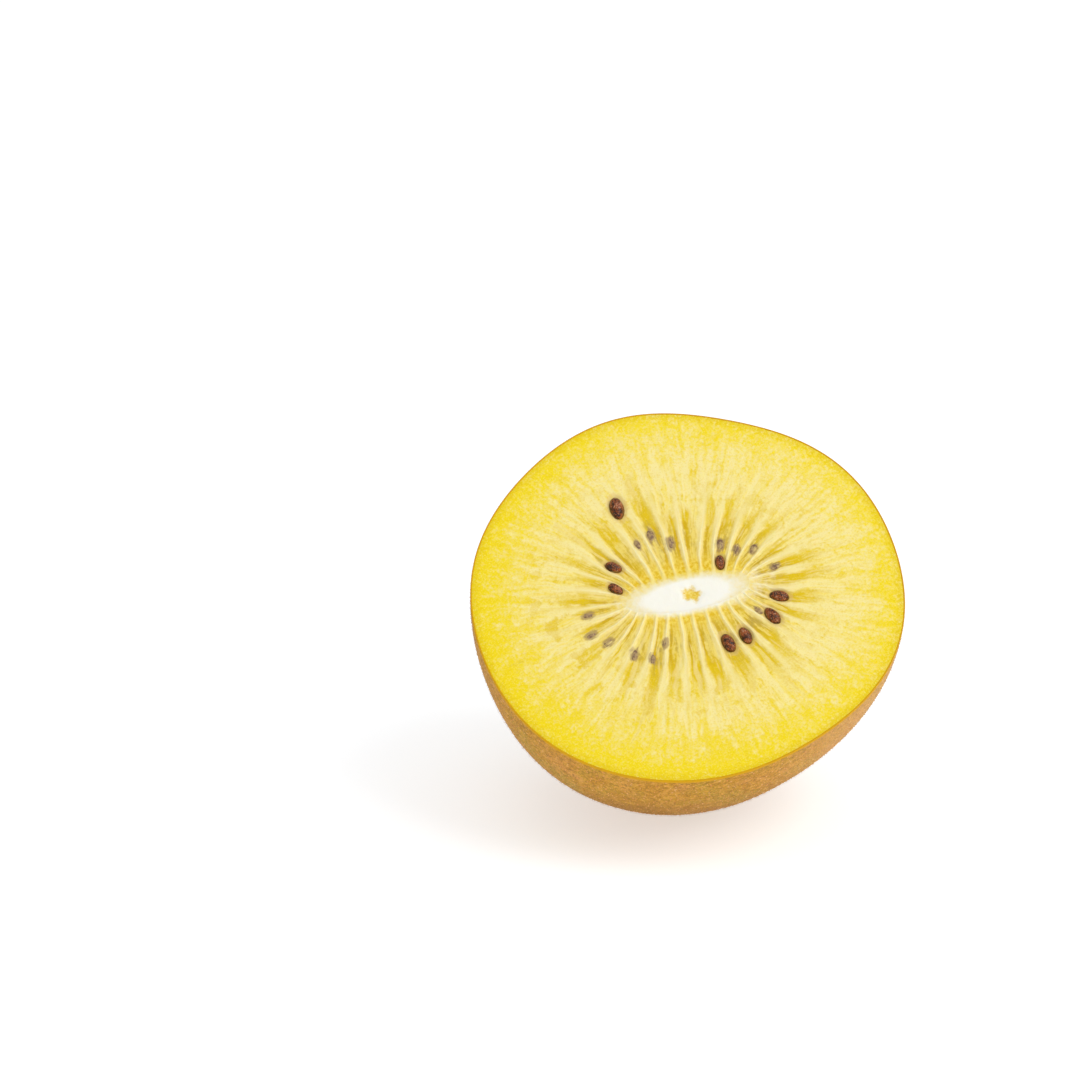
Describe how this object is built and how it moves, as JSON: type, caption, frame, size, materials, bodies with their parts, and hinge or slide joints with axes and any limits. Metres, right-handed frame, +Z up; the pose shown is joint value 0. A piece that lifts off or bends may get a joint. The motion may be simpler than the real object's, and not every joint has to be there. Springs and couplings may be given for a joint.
{
  "type": "golden kiwi fruit",
  "caption": "Half of a golden kiwi fruit with a thin tan peel, yellow flesh fanning out from a pale core, and dark seeds; it lies tilted with its cut face forward.",
  "frame": {"origin": "centre of the small flat spot that the half fruit lies on", "axes": "+Z up; the cut face looks up and towards -Y, its normal 42 degrees off +Z; +X across the cut face, to the right seen from its front"},
  "size_m": [0.0527, 0.048, 0.0468],
  "materials": {
    "peel": "fine matte tan skin with tiny dots and very short down",
    "flesh": "moist, slightly granular and translucent yellow flesh",
    "core": "dense creamy white, satin",
    "seed": "glossy dark red-brown",
    "veiled_seed": "grey-brown, seen through a film of flesh",
    "scar": "dry fibrous dark brown"
  },
  "bodies": {
    "root": {"peel": "peel", "flesh": "flesh", "core": "core", "stem_scar": "scar", "seed_01": "seed", "seed_02": "seed", "seed_03": "seed", "seed_04": "seed", "seed_05": "seed", "seed_06": "seed", "seed_07": "seed", "seed_08": "seed", "seed_09": "veiled_seed", "seed_10": "veiled_seed", "seed_11": "veiled_seed", "seed_12": "veiled_seed", "seed_13": "veiled_seed", "seed_14": "veiled_seed", "seed_15": "veiled_seed", "seed_16": "veiled_seed", "seed_17": "veiled_seed", "seed_18": "veiled_seed", "seed_19": "veiled_seed", "seed_20": "veiled_seed", "seed_21": "veiled_seed", "seed_22": "veiled_seed"}
  },
  "joints": []
}
